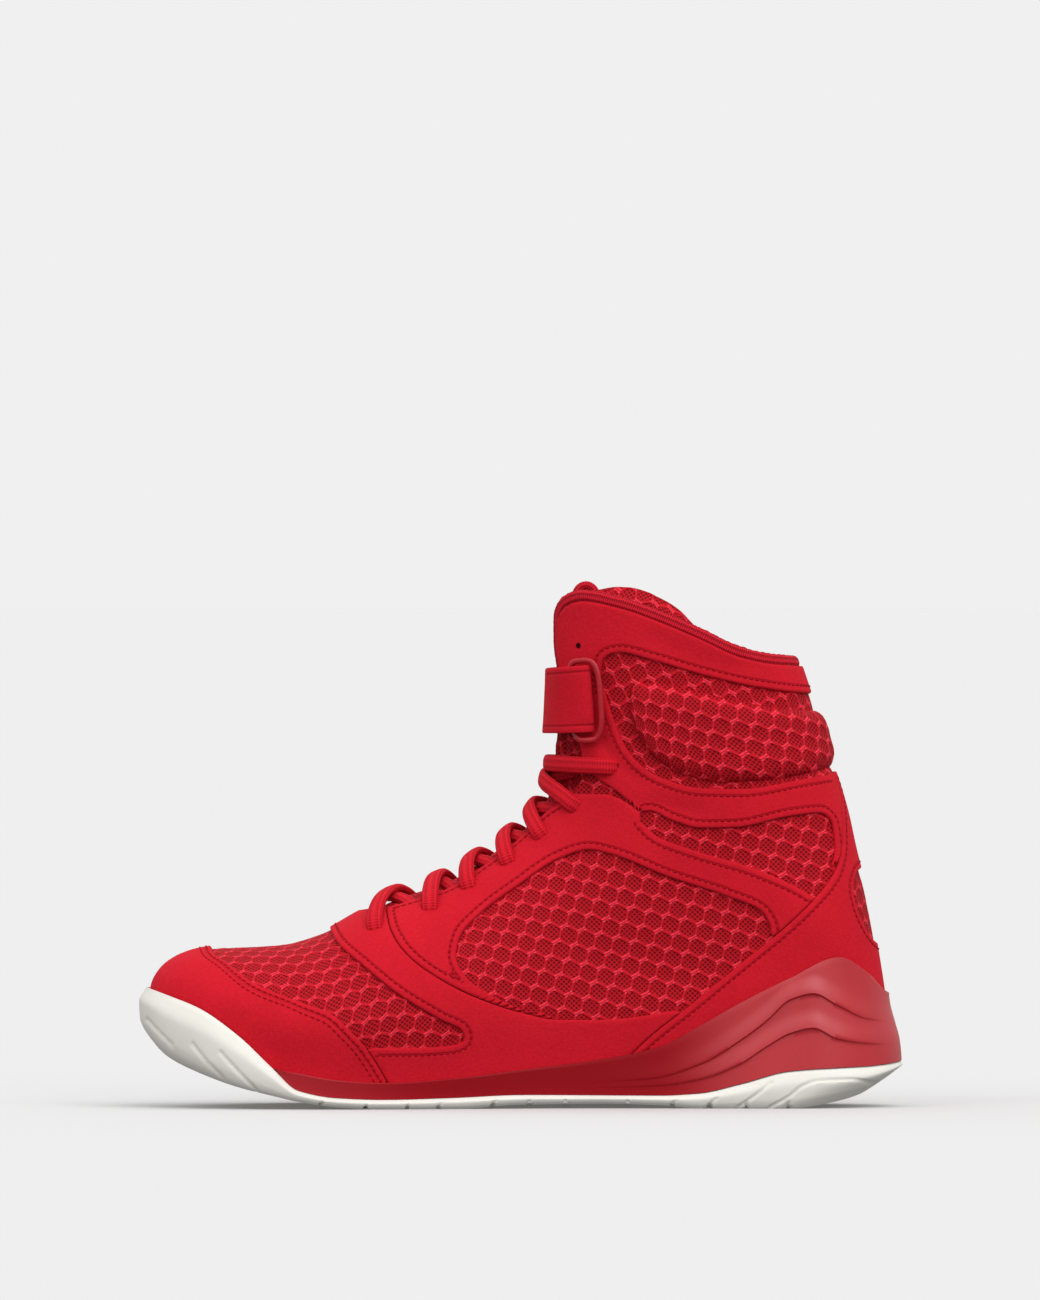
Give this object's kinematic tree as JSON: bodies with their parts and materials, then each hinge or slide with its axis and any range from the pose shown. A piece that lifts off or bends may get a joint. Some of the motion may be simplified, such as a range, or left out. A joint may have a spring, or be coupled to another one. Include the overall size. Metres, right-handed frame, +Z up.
{
  "type": "boxing shoe",
  "caption": "High-top boxing shoe for the right foot: mesh upper with suede-like overlays, ankle strap through a ring, lacing, padded collar, red foam midsole and off-white rubber outsole.",
  "frame": {"origin": "on the floor under the middle of the sole", "axes": "+X towards the toe, +Y towards the inner (medial) side of the foot, +Z up"},
  "size_m": [0.296, 0.1058, 0.204],
  "materials": {
    "white_rubber": "matte moulded rubber",
    "red_foam": "satin moulded foam",
    "dark_lining": "brushed lining",
    "red_mesh": "hexagon spacer mesh",
    "red_suede": "fine matte nap",
    "red_knit": "knitted edge",
    "red_lace": "woven oval lace",
    "red_moulding": "glossy moulding"
  },
  "bodies": {
    "root": {"outsole": "white_rubber", "midsole": "red_foam", "insole": "dark_lining", "upper": "red_mesh", "toe_cap": "red_suede", "saddle": "red_suede", "eyestay_medial": "red_suede", "eyestay_lateral": "red_suede", "collar_frame": "red_suede", "heel_counter": "red_suede", "collar_pad": "red_mesh", "collar_binding": "red_knit", "tongue": "red_mesh", "pull_loop": "red_knit", "strap": "red_suede", "strap_ring": "red_moulding", "lace_cross_1": "red_lace", "lace_cross_2": "red_lace", "lace_cross_3": "red_lace", "lace_cross_4": "red_lace", "lace_cross_5": "red_lace", "lace_cross_6": "red_lace", "lace_top_bar": "red_lace"}
  },
  "joints": []
}
